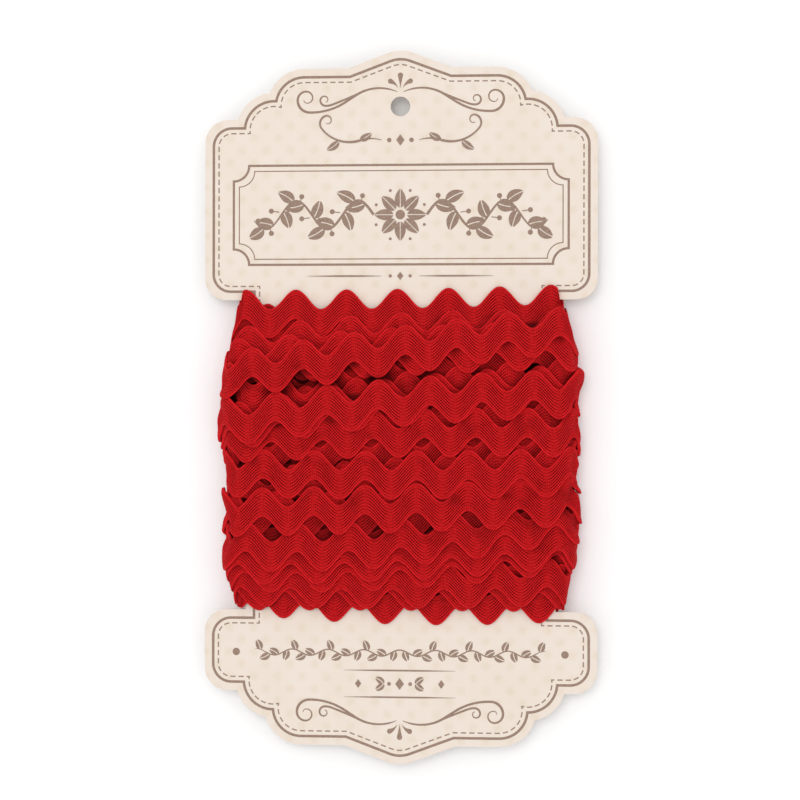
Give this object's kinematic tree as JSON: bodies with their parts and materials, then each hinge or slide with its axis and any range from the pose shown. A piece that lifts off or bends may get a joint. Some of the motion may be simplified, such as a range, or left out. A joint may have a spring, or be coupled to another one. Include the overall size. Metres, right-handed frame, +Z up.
{
  "type": "ric rac trim wound on a card",
  "caption": "Zigzag woven trim wound in overlapping rows round the waist of a die-cut card with scalloped ends and a hang hole; it lies flat on its back.",
  "frame": {"origin": "on the surface it lies on, under the middle of the card", "axes": "+X across the card, +Y up the card towards the end with the hang hole, +Z up out of the face of the card that shows"},
  "size_m": [0.1266, 0.2294, 0.014],
  "materials": {
    "card": "matte",
    "trim": "matte"
  },
  "bodies": {
    "root": {"card": "card", "winding": "trim"}
  },
  "joints": []
}
